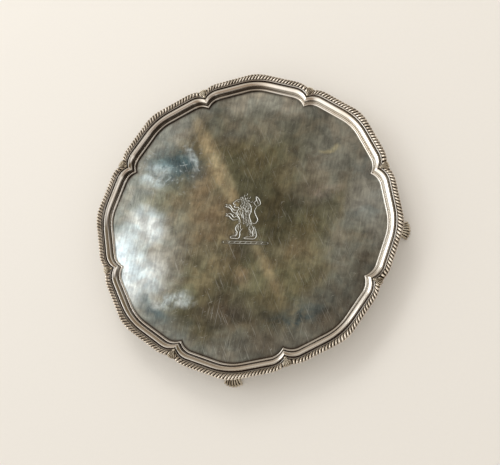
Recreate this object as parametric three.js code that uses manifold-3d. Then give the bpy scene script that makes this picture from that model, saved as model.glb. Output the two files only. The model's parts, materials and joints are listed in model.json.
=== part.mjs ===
// A lobed silver salver on four feet, in millimetres, with +Z up.
// The origin is on the table under the middle of the tray; +X points through the middle of a lobe.
import * as THREE from 'three';
import { mergeVertices } from 'three/addons/utils/BufferGeometryUtils.js';
import Module from 'manifold-3d';

// Heights above the table
const WELL_TOP = 20;
const SHEET = 1.1;
const UNDERSIDE = WELL_TOP - SHEET;
const FILLET_TOP = WELL_TOP + 6.25;
const FLANGE_TOP = WELL_TOP + 4;
const PAD_THICKNESS = 1.25;
const PAD_BOTTOM = UNDERSIDE - PAD_THICKNESS;

// The lobed outline, which repeats around the tray
const LOBES = 8;
const LOBE_STEP = 360 / LOBES;
const CUSP_ANGLE = LOBE_STEP / 2;
const FLANK_TILT = 14.5;

// Three outlines. cusp is the radius at a cusp, flank is how far a lobe's straight flanks lie from the
// middle, nose is the radius of the arc that joins the flanks, and shoulder is that of the arcs that run to
// the cusps.
const WELL_LINE = { cusp: 128.2, flank: 133.8, nose: 46, shoulder: 16.6 };
const GROOVE_LINE = { cusp: 137.2, flank: 142.4, nose: 68, shoulder: 17.8 };
const EDGE_LINE = { cusp: 145.5, flank: 148.9, nose: 39.5, shoulder: 32 };

// The border's section, from the foot of its step to the rim and back under it. place runs from 0 at the
// well line through 1 at the groove line to 2 at the edge line, and rise is the height above the well.
const BORDER_SECTION = [
  { place: 0, rise: 0 },
  { place: 0.045, rise: 1.2 },
  { place: 0.12, rise: 1.75 },
  { place: 0.22, rise: 1.75 },
  { place: 0.31, rise: 1.3 },
  { place: 0.36, rise: 2.2 },
  { place: 0.43, rise: 4.7 },
  { place: 0.52, rise: 5.5 },
  { place: 0.83, rise: 6.5 },
  { place: 0.92, rise: 6.2 },
  { place: 1, rise: 4.5 },
  { place: 1.1, rise: FILLET_TOP - WELL_TOP },
  { place: 1.32, rise: FILLET_TOP - WELL_TOP },
  { place: 1.34, rise: FLANGE_TOP - WELL_TOP },
  { place: 1.93, rise: FLANGE_TOP - WELL_TOP },
  { place: 1.9, rise: 3.1 },
  { place: 1.02, rise: 3.2 },
  { place: 0.88, rise: 4.9 },
  { place: 0.58, rise: 4.2 },
  { place: 0.46, rise: 1.1 },
  { place: 0.12, rise: -SHEET },
];
const EDGE_PLACE = 2;
// Where the border is cut into stations, in degrees from a lobe's middle
const HALF_LOBE_STATIONS = [0, 2.5, 5, 16.5, 18.5, 20.5];

// Gadroons: rounded reeds that lean across the rim, each with its outer end turned clockwise
const GADROON_PITCH = LOBE_STEP / 36;
const GADROONS_PER_SECTION = 33;
const GADROON_LEAN = 1.25 * GADROON_PITCH;
// The reed at each end of a section is lower, to pass under the shell beside it.
const END_REED_RISE = FILLET_TOP - FLANGE_TOP - 0.3;
// The border's section in the hollow between two reeds, and what the crest of a reed adds to it. rise is
// the height above the flange.
const GADROON_SECTION = [
  { place: 1.36, rise: 0, crestPlace: 0, crestRise: 0 },
  { place: 1.36, rise: 2.1, crestPlace: 0, crestRise: 0 },
  { place: 1.6, rise: 2.6, crestPlace: 0, crestRise: 1.2 },
  { place: 1.86, rise: 2.6, crestPlace: 0.07, crestRise: 1.5 },
  { place: 1.92, rise: 1.2, crestPlace: 0.08, crestRise: 0.6 },
  { place: 1.9, rise: 0, crestPlace: 0, crestRise: 0 },
];

// A scallop: ribs, length from the hub's centre to the tips, half the fan's angle, hub radius, height over
// the base at each step from the hub to the tips, height that a rib adds at its tip, and the base's height.
const SHELL = {
  ribs: 5,
  length: 10.2,
  halfAngle: 29,
  hub: 2,
  crown: [1.2, 2, 2, 1.1],
  ribHeight: 0.5,
  base: FILLET_TOP,
};
const TOE = {
  ribs: 6,
  length: 18,
  halfAngle: 32,
  hub: 3,
  crown: [6, 5.4, 3.6, 1.6],
  ribHeight: 0.9,
  base: 0,
};
// How far the valleys between the ribs reach, as a share of the ribs' length
const VALLEY_REACH = 0.93;

// Scallop shells that cover the joints between the gadroon sections. Each has a seat that stands on the
// flange and ends inside the shell.
const SHELL_CENTRE = 137.6;
const SHELL_SEAT = { inner: 141.8, outer: 144.8, width: 2.6, intoShell: 0.5 };

// Feet: a scroll leg that ends in a scallop toe
const FEET = 4;
const FOOT_EVERY = 360 / FEET;
const TOE_CENTRE = 139.5;
const LEG_SIDES = 10;
// Sections of the leg from the pad down to the toe: distance out, height, half sizes out and across, and
// how far the section is turned outwards from level, in degrees.
const LEG_SECTIONS = [
  { out: 129.5, up: PAD_BOTTOM, deep: 5.5, wide: 7, lean: 0 },
  { out: 130.8, up: 14.8, deep: 5.8, wide: 7, lean: 12 },
  { out: 133, up: 11.8, deep: 4.8, wide: 6, lean: 27 },
  { out: 135.6, up: 8.9, deep: 3.8, wide: 4.8, lean: 40 },
  { out: 138.8, up: 6.3, deep: 3.2, wide: 4.4, lean: 52 },
  { out: 142.5, up: 4.4, deep: 3, wide: 4.6, lean: 68 },
];
const PAD_CENTRE = 127.5;
const PAD_INWARDS = 10;
const PAD_OUTWARDS = 8;
const PAD_HALF_WIDTH = 12;

// Materials
const SILVER = new THREE.MeshStandardMaterial({ color: 0xc9c4b8, metalness: 1, roughness: 0.22 });
const WELL_SILVER = new THREE.MeshStandardMaterial({ color: 0x8f8c82, metalness: 1, roughness: 0.3 });
const CAST_SILVER = new THREE.MeshStandardMaterial({ color: 0xb9b2a2, metalness: 1, roughness: 0.34 });

const wasm = await Module();
wasm.setup();

const { degToRad, lerp, euclideanModulo } = THREE.MathUtils;

// The distance from the middle to an outline, at an angle in degrees.
function lineRadius(line, degrees) {
  const fromMiddle = Math.abs(euclideanModulo(degrees + CUSP_ANGLE, LOBE_STEP) - CUSP_ANGLE);
  const angle = degToRad(fromMiddle);
  const tilt = degToRad(FLANK_TILT);
  const cuspOffNormal = degToRad(CUSP_ANGLE - FLANK_TILT);
  // The nose arc is centred on the lobe's middle line.
  const noseCentre = (line.flank - line.nose) / Math.cos(tilt);
  const noseEnd = Math.atan2(line.nose * Math.sin(tilt), noseCentre + line.nose * Math.cos(tilt));
  if (angle <= noseEnd) {
    const across = noseCentre * Math.sin(angle);
    return noseCentre * Math.cos(angle) + Math.sqrt(line.nose ** 2 - across ** 2);
  }
  // The shoulder arc leaves the flank and ends on the cusp.
  const cuspDrop = line.flank - line.cusp * Math.cos(cuspOffNormal);
  const turn = Math.acos(1 - cuspDrop / line.shoulder);
  const along = line.cusp * Math.sin(cuspOffNormal) - line.shoulder * Math.sin(turn);
  const shoulderStart = tilt + Math.atan2(along, line.flank);
  if (angle <= shoulderStart) {
    return line.flank / Math.cos(angle - tilt);
  }
  const centreRadius = Math.hypot(line.flank - line.shoulder, along);
  const centreAngle = tilt + Math.atan2(along, line.flank - line.shoulder);
  const across = centreRadius * Math.sin(angle - centreAngle);
  return centreRadius * Math.cos(angle - centreAngle) + Math.sqrt(line.shoulder ** 2 - across ** 2);
}

// A point of the border, at a place between the three outlines.
function borderPoint(place, degrees, height) {
  const groove = lineRadius(GROOVE_LINE, degrees);
  const radius =
    place <= 1
      ? lerp(lineRadius(WELL_LINE, degrees), groove, place)
      : lerp(groove, lineRadius(EDGE_LINE, degrees), place - 1);
  const angle = degToRad(degrees);
  return new THREE.Vector3(radius * Math.cos(angle), radius * Math.sin(angle), height);
}

function meanPoint(points) {
  const mean = new THREE.Vector3();
  points.forEach((point) => mean.addScaledVector(point, 1 / points.length));
  return mean;
}

// Collects points and triangles into one geometry.
class Surface {
  constructor() {
    this.positions = [];
    this.indices = [];
  }

  addPoint(point) {
    this.positions.push(point.x, point.y, point.z);
    return this.positions.length / 3 - 1;
  }

  // Joins two rings of points. The rings run counter-clockwise when seen from beyond the second.
  joinRings(first, second) {
    const count = first.length;
    for (let i = 0; i < count; i++) {
      const next = (i + 1) % count;
      this.indices.push(first[i], first[next], second[next]);
      this.indices.push(first[i], second[next], second[i]);
    }
  }

  // Closes a ring with a fan; outward is true when the ring runs counter-clockwise as seen from outside.
  closeRing(ring, centre, outward) {
    const middle = this.addPoint(centre);
    for (let i = 0; i < ring.length; i++) {
      const next = (i + 1) % ring.length;
      if (outward) {
        this.indices.push(middle, ring[i], ring[next]);
      } else {
        this.indices.push(middle, ring[next], ring[i]);
      }
    }
  }

  build() {
    const geometry = new THREE.BufferGeometry();
    geometry.setAttribute('position', new THREE.Float32BufferAttribute(this.positions, 3));
    geometry.setIndex(this.indices);
    geometry.computeVertexNormals();
    return geometry;
  }
}

// A solid through a list of sections, each a list of points, with a fan over each end.
function loft(sections) {
  const surface = new Surface();
  const rings = sections.map((points) => points.map((point) => surface.addPoint(point)));
  for (let i = 1; i < rings.length; i++) {
    surface.joinRings(rings[i - 1], rings[i]);
  }
  surface.closeRing(rings[0], meanPoint(sections[0]), false);
  surface.closeRing(rings.at(-1), meanPoint(sections.at(-1)), true);
  return surface.build();
}

function toManifold(geometry) {
  const bare = geometry.clone();
  bare.deleteAttribute('normal');
  bare.deleteAttribute('uv');
  const merged = mergeVertices(bare);
  const mesh = new wasm.Mesh({
    numProp: 3,
    vertProperties: new Float32Array(merged.attributes.position.array),
    triVerts: new Uint32Array(merged.index.array),
  });
  return new wasm.Manifold(mesh);
}

function joinGeometries(first, second) {
  const mesh = toManifold(first).add(toManifold(second)).getMesh();
  const geometry = new THREE.BufferGeometry();
  geometry.setAttribute('position', new THREE.BufferAttribute(mesh.vertProperties, 3));
  geometry.setIndex(new THREE.BufferAttribute(mesh.triVerts, 1));
  geometry.computeVertexNormals();
  return geometry;
}

// The plate: a flat well whose edge is raised into a moulded border, all one sheet.
function plateGeometry() {
  const surface = new Surface();
  const mirrored = HALF_LOBE_STATIONS.slice(1).reverse().map((degrees) => -degrees);
  const lobeStations = [-CUSP_ANGLE, ...mirrored, ...HALF_LOBE_STATIONS];
  const rings = BORDER_SECTION.map(({ place, rise }) => {
    const ring = [];
    for (let lobe = 0; lobe < LOBES; lobe++) {
      lobeStations.forEach((station) => {
        const point = borderPoint(place, lobe * LOBE_STEP + station, WELL_TOP + rise);
        ring.push(surface.addPoint(point));
      });
    }
    return ring;
  });
  for (let i = 1; i < rings.length; i++) {
    surface.joinRings(rings[i], rings[i - 1]);
  }
  surface.closeRing(rings[0], new THREE.Vector3(0, 0, WELL_TOP), true);
  surface.closeRing(rings.at(-1), new THREE.Vector3(0, 0, UNDERSIDE), false);
  return surface.build();
}

// One lobe's length of cast gadroon border, lying on the plate's flange.
function gadroonGeometry() {
  const start = (-GADROONS_PER_SECTION * GADROON_PITCH) / 2;
  const inner = GADROON_SECTION[0].place;
  const width = EDGE_PLACE - inner;
  const sections = [];
  const stations = 2 * GADROONS_PER_SECTION;
  for (let i = 0; i <= stations; i++) {
    const crest = i % 2;
    const highest = i < 2 || i > stations - 2 ? END_REED_RISE : Infinity;
    const degrees = start + (i * GADROON_PITCH) / 2;
    const points = GADROON_SECTION.map(({ place, rise, crestPlace, crestRise }) => {
      const across = place + crest * crestPlace;
      const lean = GADROON_LEAN * ((across - inner) / width - 0.5);
      const height = Math.min(rise + crest * crestRise, highest);
      return borderPoint(across, degrees - lean, FLANGE_TOP + height);
    });
    sections.push(points);
  }
  return loft(sections);
}

// A ribbed fan with a flat base. Its hub is at the origin, and its ribs spread about +X.
function scallopGeometry({ ribs, length, halfAngle, hub, crown, ribHeight, base }) {
  const surface = new Surface();
  const across = 2 * ribs;
  const steps = crown.length - 1;
  const topRows = [];
  const baseRows = [];
  for (let i = 0; i <= across; i++) {
    const angle = degToRad(lerp(-halfAngle, halfAngle, i / across));
    const onRib = i % 2;
    const reach = length * (onRib ? 1 : VALLEY_REACH);
    const top = [];
    const bottom = [];
    for (let j = 0; j <= steps; j++) {
      const distance = lerp(hub, reach, j / steps);
      const rib = onRib * ribHeight * (j / steps);
      const x = distance * Math.cos(angle);
      const y = distance * Math.sin(angle);
      top.push(surface.addPoint(new THREE.Vector3(x, y, base + crown[j] + rib)));
      bottom.push(surface.addPoint(new THREE.Vector3(x, y, base)));
    }
    topRows.push(top);
    baseRows.push(bottom);
  }
  const addQuad = (a, b, c, d) => surface.indices.push(a, b, c, a, c, d);
  for (let i = 0; i < across; i++) {
    for (let j = 0; j < steps; j++) {
      addQuad(topRows[i][j], topRows[i][j + 1], topRows[i + 1][j + 1], topRows[i + 1][j]);
      addQuad(baseRows[i][j], baseRows[i + 1][j], baseRows[i + 1][j + 1], baseRows[i][j + 1]);
    }
    addQuad(topRows[i][0], topRows[i + 1][0], baseRows[i + 1][0], baseRows[i][0]);
    addQuad(topRows[i][steps], baseRows[i][steps], baseRows[i + 1][steps], topRows[i + 1][steps]);
  }
  for (let j = 0; j < steps; j++) {
    addQuad(topRows[0][j], baseRows[0][j], baseRows[0][j + 1], topRows[0][j + 1]);
    addQuad(topRows[across][j], topRows[across][j + 1], baseRows[across][j + 1], baseRows[across][j]);
  }
  return surface.build();
}

// A shell over the fillet at a cusp, with a seat under it that stands on the flange.
function shellGeometry() {
  const fan = scallopGeometry(SHELL);
  fan.translate(SHELL_CENTRE, 0, 0);
  const { inner, outer, width, intoShell } = SHELL_SEAT;
  const seatHeight = FILLET_TOP - FLANGE_TOP + intoShell;
  const seat = new THREE.BoxGeometry(outer - inner, width, seatHeight);
  seat.translate((outer + inner) / 2, 0, FLANGE_TOP + seatHeight / 2);
  return joinGeometries(fan, seat);
}

// A foot: its scroll leg hangs from the pad and its scallop toe lies on the table.
function footGeometry() {
  const toe = scallopGeometry(TOE);
  toe.translate(TOE_CENTRE, 0, 0);
  const sections = LEG_SECTIONS.map(({ out, up, deep, wide, lean }) => {
    const points = [];
    for (let i = 0; i < LEG_SIDES; i++) {
      const turn = (-2 * Math.PI * i) / LEG_SIDES;
      const outwards = deep * Math.cos(turn);
      const x = out + outwards * Math.cos(degToRad(lean));
      const z = up + outwards * Math.sin(degToRad(lean));
      points.push(new THREE.Vector3(x, wide * Math.sin(turn), z));
    }
    return points;
  });
  return joinGeometries(toe, loft(sections));
}

// A shield-shaped pad between the plate's underside and a foot, blunt towards the rim.
function padGeometry() {
  const inner = PAD_CENTRE - PAD_INWARDS;
  const outer = PAD_CENTRE + PAD_OUTWARDS;
  const side = PAD_HALF_WIDTH;
  const outline = new THREE.Shape();
  outline.moveTo(inner, 0);
  outline.quadraticCurveTo(inner, -side, PAD_CENTRE, -side);
  outline.quadraticCurveTo(outer, -side, outer, 0);
  outline.quadraticCurveTo(outer, side, PAD_CENTRE, side);
  outline.quadraticCurveTo(inner, side, inner, 0);
  const settings = { depth: PAD_THICKNESS, bevelEnabled: false, curveSegments: 5 };
  const pad = new THREE.ExtrudeGeometry(outline, settings);
  pad.translate(0, 0, PAD_BOTTOM);
  return pad;
}

const salver = new THREE.Group();

function addPiece(name, geometry, material, degrees = 0) {
  const piece = new THREE.Mesh(geometry, material);
  piece.name = name;
  piece.rotation.z = degToRad(degrees);
  salver.add(piece);
}

addPiece('plate', plateGeometry(), WELL_SILVER);
const gadroon = gadroonGeometry();
const shell = shellGeometry();
for (let lobe = 0; lobe < LOBES; lobe++) {
  addPiece(`gadroon_border_${lobe + 1}`, gadroon, SILVER, lobe * LOBE_STEP);
  addPiece(`cusp_shell_${lobe + 1}`, shell, CAST_SILVER, lobe * LOBE_STEP + CUSP_ANGLE);
}
const foot = footGeometry();
const pad = padGeometry();
for (let i = 0; i < FEET; i++) {
  addPiece(`foot_${i + 1}`, foot, CAST_SILVER, i * FOOT_EVERY);
  addPiece(`foot_pad_${i + 1}`, pad, CAST_SILVER, i * FOOT_EVERY);
}

export default salver;
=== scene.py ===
"""A lobed silver salver on four feet: the looks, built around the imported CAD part."""

import json
import math

import bpy
import numpy as np
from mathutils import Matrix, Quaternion, Vector


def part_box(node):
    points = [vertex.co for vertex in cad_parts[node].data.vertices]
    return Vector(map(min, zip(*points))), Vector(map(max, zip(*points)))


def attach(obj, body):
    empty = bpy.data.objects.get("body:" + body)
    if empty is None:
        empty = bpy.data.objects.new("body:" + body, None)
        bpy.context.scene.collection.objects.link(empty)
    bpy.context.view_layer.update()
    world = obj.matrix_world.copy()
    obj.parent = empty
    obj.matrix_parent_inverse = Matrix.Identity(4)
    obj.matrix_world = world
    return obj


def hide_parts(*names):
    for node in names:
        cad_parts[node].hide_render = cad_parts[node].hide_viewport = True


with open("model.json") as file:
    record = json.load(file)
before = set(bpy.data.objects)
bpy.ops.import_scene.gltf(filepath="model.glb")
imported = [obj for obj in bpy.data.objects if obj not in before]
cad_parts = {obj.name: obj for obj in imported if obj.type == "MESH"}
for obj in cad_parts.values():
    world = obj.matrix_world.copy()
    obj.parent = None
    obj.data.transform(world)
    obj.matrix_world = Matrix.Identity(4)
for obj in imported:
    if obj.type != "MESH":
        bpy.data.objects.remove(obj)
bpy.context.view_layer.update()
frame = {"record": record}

MM = 0.001

# The lobed outline, as on the CAD plate. Angles are in degrees and lengths in millimetres.
LOBES = 8
LOBE_STEP = 360 / LOBES
CUSP_ANGLE = LOBE_STEP / 2
FLANK_TILT = 14.5
WELL_LINE = {"cusp": 128.2, "flank": 133.8, "nose": 46.0, "shoulder": 16.6}
GROOVE_LINE = {"cusp": 137.2, "flank": 142.4, "nose": 68.0, "shoulder": 17.8}
EDGE_LINE = {"cusp": 145.5, "flank": 148.9, "nose": 39.5, "shoulder": 32.0}

# Heights, from the frame
WELL_TOP = next(m["pos_m"][2] for m in frame["record"]["mounts"] if m["name"] == "well_top") / MM
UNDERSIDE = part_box("plate")[0].z / MM
FLANGE_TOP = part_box("gadroon_border_1")[0].z / MM
PAD_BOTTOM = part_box("foot_pad_1")[0].z / MM

# Fineness of the meshes
STATIONS_PER_LOBE = 96
CURVE_STEPS = 8


# ---- outline


def line_radius(line, degrees):
    """Distance from the middle to an outline, at angles in degrees."""
    from_middle = np.abs((degrees + CUSP_ANGLE) % LOBE_STEP - CUSP_ANGLE)
    angle = np.radians(from_middle)
    tilt = math.radians(FLANK_TILT)
    off_normal = math.radians(CUSP_ANGLE - FLANK_TILT)

    nose_centre = (line["flank"] - line["nose"]) / math.cos(tilt)
    nose_end = math.atan2(line["nose"] * math.sin(tilt), nose_centre + line["nose"] * math.cos(tilt))
    nose_across = np.minimum(nose_centre * np.sin(angle), line["nose"])
    nose = nose_centre * np.cos(angle) + np.sqrt(line["nose"] ** 2 - nose_across**2)

    flank = line["flank"] / np.cos(angle - tilt)

    cusp_drop = line["flank"] - line["cusp"] * math.cos(off_normal)
    turn = math.acos(1 - cusp_drop / line["shoulder"])
    along = line["cusp"] * math.sin(off_normal) - line["shoulder"] * math.sin(turn)
    shoulder_start = tilt + math.atan2(along, line["flank"])
    centre_radius = math.hypot(line["flank"] - line["shoulder"], along)
    centre_angle = tilt + math.atan2(along, line["flank"] - line["shoulder"])
    across = centre_radius * np.sin(angle - centre_angle)
    chord = np.sqrt(np.maximum(line["shoulder"] ** 2 - across**2, 0))
    shoulder = centre_radius * np.cos(angle - centre_angle) + chord

    return np.where(angle <= nose_end, nose, np.where(angle <= shoulder_start, flank, shoulder))


def border_radius(place, degrees):
    """Radius at a place of the border: 0 is the well line, 1 the groove line and 2 the edge line."""
    well = line_radius(WELL_LINE, degrees)
    groove = line_radius(GROOVE_LINE, degrees)
    edge = line_radius(EDGE_LINE, degrees)
    return np.where(place <= 1, well + (groove - well) * place, groove + (edge - groove) * (place - 1))


def polar_points(radius, degrees, height):
    angle = np.radians(degrees)
    height = np.broadcast_to(height, np.broadcast(radius, angle).shape)
    return np.stack([radius * np.cos(angle), radius * np.sin(angle), height], -1)


# ---- mesh helpers


def bezier(curve, steps, skip_first=False):
    """Points along a cubic curve given by its four control points."""
    t = np.linspace(0, 1, steps + 1)[1 if skip_first else 0 :, None]
    a, b, c, d = (np.array(point, float) for point in curve)
    return (1 - t) ** 3 * a + 3 * (1 - t) ** 2 * t * b + 3 * (1 - t) * t**2 * c + t**3 * d


def bezier_chain(points, steps):
    """Points along cubic curves, each of which ends where the next one starts."""
    starts = range(0, len(points) - 1, 3)
    return np.concatenate([bezier(points[i : i + 4], steps, skip_first=i > 0) for i in starts])


def smooth_line(points, steps):
    """A smooth line through given points."""
    points = np.array(points, float)
    padded = np.concatenate([2 * points[:1] - points[1:2], points, 2 * points[-1:] - points[-2:-1]])
    parts = []
    for i in range(len(points) - 1):
        before, start, end, after = padded[i : i + 4]
        curve = (start, start + (end - before) / 6, end - (after - start) / 6, end)
        parts.append(bezier(curve, steps, skip_first=i > 0))
    return np.concatenate(parts)


def grid_faces(rows, columns):
    """Quads between rings of points stored one ring after another."""
    row = np.arange(rows - 1)[:, None]
    column = np.arange(columns)[None, :]
    right = (column + 1) % columns
    a = row * columns + column
    b = row * columns + right
    c = (row + 1) * columns + right
    d = (row + 1) * columns + column
    return np.stack([a, b, c, d], -1).reshape(-1, 4).tolist()


def loft(rings):
    """Points and faces of a solid through rings of points, closed by a fan at each end."""
    rings = np.asarray(rings, float)
    rows, columns = rings.shape[:2]
    points = rings.reshape(-1, 3)
    first, last = len(points), len(points) + 1
    points = np.concatenate([points, [rings[0].mean(0), rings[-1].mean(0)]])
    faces = grid_faces(rows, columns)
    end = (rows - 1) * columns
    for i in range(columns):
        after = (i + 1) % columns
        faces.append([first, after, i])
        faces.append([last, end + i, end + after])
    return points, faces


def merge(parts):
    """One list of points and faces from several."""
    points = []
    faces = []
    count = 0
    for part_points, part_faces in parts:
        points.append(np.asarray(part_points, float))
        faces += [[count + i for i in face] for face in part_faces]
        count += len(part_points)
    return np.concatenate(points), faces


def moved(solid, out, up=0):
    points, faces = solid
    return points + (out, 0, up), faces


def smoothstep(low, high, value):
    t = np.clip((value - low) / (high - low), 0, 1)
    return t * t * (3 - 2 * t)


def add_object(name, data):
    thing = bpy.data.objects.new(name, data)
    bpy.context.scene.collection.objects.link(thing)
    return thing


def make_piece(name, points, faces, attributes=None, crease=35):
    """A mesh object from points in millimetres, creased where faces meet at more than crease degrees."""
    mesh = bpy.data.meshes.new(name)
    mesh.from_pydata((np.asarray(points) * MM).tolist(), [], faces)
    for key, values in (attributes or {}).items():
        layer = mesh.attributes.new(key, "FLOAT", "POINT")
        layer.data.foreach_set("value", np.asarray(values, np.float32))
    mesh.validate()
    mesh.shade_smooth()
    mesh.set_sharp_from_angle(angle=math.radians(crease))
    return add_object(name, mesh)


def turned(points, degrees):
    """Points turned about the tray's axis."""
    cosine, sine = math.cos(math.radians(degrees)), math.sin(math.radians(degrees))
    x, y, z = np.moveaxis(np.asarray(points, float), -1, 0)
    return np.stack([x * cosine - y * sine, x * sine + y * cosine, z], -1)


def hand_over(piece, node, material):
    """Puts a finished piece in the frame, in place of its CAD node."""
    piece.data.materials.append(material)
    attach(piece, "root")
    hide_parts(node)


# ---- plate

# The border's section as cubic curves of (place, rise above the well), from the step's foot to the rim
BORDER_CURVES = [
    (0, 0),
    (0.012, 0.4), (0.02, 0.8), (0.045, 1.15),
    (0.1, 1.95), (0.23, 2.0), (0.3, 1.4),
    (0.325, 1.2), (0.345, 1.6), (0.36, 2.2),
    (0.41, 4.2), (0.45, 5.1), (0.52, 5.5),
    (0.62, 5.95), (0.73, 6.3), (0.83, 6.5),
    (0.91, 6.6), (0.95, 5.6), (0.98, 4.7),
    (1.01, 4.3), (1.07, 4.9), (1.1, 5.8),
    (1.12, 6.2), (1.18, 6.5), (1.25, 6.5),
    (1.255, 5.7), (1.26, 4.7), (1.265, 4),
    (1.46, 4), (1.66, 4), (1.86, 4),
]
# The same under the border, from the rim back to the flat
UNDER_CURVES = [
    (1.86, 4),
    (1.9, 3.7), (1.89, 3.2), (1.83, 3.1),
    (1.6, 3.0), (1.3, 3.1), (1.02, 3.2),
    (0.96, 3.5), (0.98, 4.9), (0.86, 4.9),
    (0.74, 4.8), (0.64, 4.6), (0.58, 4.2),
    (0.5, 3.7), (0.5, 1.5), (0.44, 0.8),
    (0.36, 0.1), (0.24, -1.0), (0.12, -1.1),
]
# Lines of the border where tarnish and painted shade lie: place, half width, strength, and the share taken
# off on each of the lighter sides of the tray
HOLLOWS = [
    (-0.045, 0.13, 1.0, (0.8, 1.0)),
    (0.35, 0.095, 1.0, (0.9, 0.3)),
    (1.035, 0.12, 1.0, (0.35, 0)),
    (1.26, 0.06, 1.0, (0.1, 0)),
]
# The lighter sides, where the hollows are less dark: azimuth, and how far either way the lightening reaches,
# in degrees
LIGHTER_SIDES = [(22, 30, 75), (197, 16, 34)]

# Rings of points lie close together as far as the crest reaches, and again by the well line.
CREST_REACH = 36.0
CREST_RINGS = 130
WELL_RINGS = 16
WELL_RING_EASE = 2.5
BACK_RINGS = 5
# The well's waves die away over this share of its radius.
WAVE_HEIGHT = 0.035
WAVE_FADE = 0.15
# The well's old surface ends by this place of the border.
WELL_SURFACE_END = 0.05
# A place far from every hollow of the border
FAR_PLACE = 9.0

CREST_PLACE = (-2.6, 2.4)

BOLD_CUT = {"half_width": 0.62, "depth": 0.18}
FINE_CUT = {"half_width": 0.42, "depth": 0.14}
# Painted shade darkens the well about the cuts, as far as this.
CUT_SHADE = {"half_width": 1.9, "depth": 1.0}

# The engraved crest: a rampant lion on a twisted wreath, as strokes through listed points
LION_BOLD = [
    [(-3.4, 19.6), (-6.2, 19.2), (-8.6, 17.4), (-10.2, 15.6), (-9.4, 14.4), (-7.2, 14.2)],
    [(-7.2, 14.2), (-8.8, 12.8), (-8.2, 11.4), (-5.4, 11.6), (-3.6, 10.2)],
    [(-3.6, 10.2), (-5.6, 7.2), (-5.2, 3.6), (-2.6, 0.4), (-1.2, -3.4)],
    [(3.4, 17.4), (7.2, 13.6), (8.4, 8.2), (7.2, 2.8), (9.2, -2.2), (10.4, -6.4)],
    [(-4.8, 8.8), (-8.6, 8.6), (-11.2, 10.8), (-13.2, 13.4), (-15.8, 13.8)],
    [(-15.8, 13.8), (-17.4, 12.2), (-15.2, 11.4), (-12.6, 10.2), (-9.4, 6.4), (-5.4, 5.6)],
    [(-4.6, 3.4), (-8.2, 1.4), (-10.4, 3.4), (-12.4, 5.2), (-14.8, 4.6)],
    [(-14.8, 4.6), (-15.8, 2.8), (-13.4, 2.4), (-11, 0.2), (-8.2, -1.4), (-3.2, -0.4)],
    [(-1.2, -3.4), (-4.4, -6.8), (-5.6, -10.4), (-3.4, -13.6), (-4.6, -16.8), (-8.6, -17.6)],
    [(-8.6, -17.6), (-9.6, -19.4), (-6.4, -19.8), (-1.8, -19.6), (-0.4, -16.4), (-0.6, -12.8), (1.8, -9.8)],
    [(10.4, -6.4), (12.4, -9.6), (11.6, -13.2), (12.6, -16.4), (10.2, -18)],
    [(10.2, -18), (6.4, -18), (4.4, -19.6), (9, -19.8), (14.2, -19.6), (16, -16.6), (15, -12), (13.4, -7.6)],
    [(9.6, -3.6), (13.6, -4.4), (15.8, -0.6), (13.6, 3.6), (12, 8.2), (13.8, 12.6)],
    [(13.8, 12.6), (16.8, 15.2), (15.8, 19.2), (12.4, 22.6), (12.6, 18.6), (10.6, 16.2), (13.8, 12.6)],
]
LION_FINE = [
    [(-6.6, 17), (-5.4, 17.6), (-4.4, 16.8)],
    [(-3.4, 19.6), (-3.2, 21.8), (-1.2, 21.2), (-0.6, 19.4)],
    [(-0.6, 19.4), (1.4, 21.4), (2.2, 18.8), (4.8, 19), (4.2, 16.4)],
    [(-2.4, 17.8), (-1.2, 15.4), (-2.8, 13.2), (-1, 11.2), (-2.4, 8.8)],
    [(0.4, 18), (1.2, 15), (-0.2, 12.4), (1.4, 9.6), (0.4, 6.8)],
    [(2.6, 16.6), (3.8, 13.4), (2.4, 10.4), (3.8, 7.6), (2.8, 4.6)],
    [(5.2, 14.6), (6, 11.4), (4.8, 8.4), (5.8, 5.4)],
    [(-2.2, 6.2), (-0.8, 3.4), (0.2, 0.2)],
    [(-0.4, 5.6), (1, 2.6), (1.8, -0.8)],
    [(3.2, 1.8), (4.4, -1.6), (4, -5.2)],
    [(5.8, 0.6), (7, -3.2), (6.2, -7.6)],
    [(8, -2), (9, -5.6), (8, -9.6), (9.4, -12.6)],
    [(-2.6, -6), (-3, -9.2), (-1.4, -12.4)],
    [(-0.6, -5.4), (-0.8, -8.6), (0.6, -11)],
    [(11.2, -9), (9.8, -11.6), (10.6, -14.6)],
    [(13, -9.4), (13.4, -12.4), (14, -15.2)],
    [(-16, 13.6), (-18.2, 14.6)],
    [(-16.6, 12.4), (-18.8, 12)],
    [(-15, 4.4), (-17, 5.2)],
    [(-15.2, 3.2), (-17.2, 2.4)],
    [(14.8, 14.8), (14.2, 17.4), (13, 20.4)],
    [(-8.8, -17.8), (-10.6, -18.6)],
    [(4.6, -19), (2.8, -19.4)],
]
WREATH = {"low": -24.6, "high": -22.6, "middle": 6, "half_width": 21.5, "twists": 8, "lean": 1.1, "cap": 0.9}
# Curled locks of the mane, fanned round the jaw: distance from its middle and length, row by row
JAW = (-3.6, 14.4)
LOCK_ROWS = [(3.4, 2.6), (5.6, 2.8), (7.9, 3.0), (10.4, 3.0)]
LOCKS_PER_ROW = 9
# Angles of the locks in degrees, and how far each bows to one side and ends to the other
LOCK_FAN = {"first": 84, "step": 22, "row_shift": 8}
LOCK_BOW = 0.8
LOCK_TIP = 0.3
# One shading cut from its upper end, and the rows of them over the body: first and last places and how many
SHADING_CUT = np.array([(0, 0), (-1.1, -0.5), (-1.9, -1.7)])
SHADING = [
    ((7.2, 8.4), (9.4, -4.2), 10),
    ((4.6, 6.6), (7.0, -6.0), 9),
    ((1.8, 7.0), (3.6, -4.0), 8),
    ((-3.6, 6.4), (-0.4, -4.0), 7),
    ((9.8, -8.0), (11.4, -16.0), 6),
    ((13.6, -8.0), (14.6, -16.0), 5),
    ((-3.4, -7.2), (-3.0, -16.4), 6),
    ((-8.0, 9.6), (-14.0, 12.6), 5),
]


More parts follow.
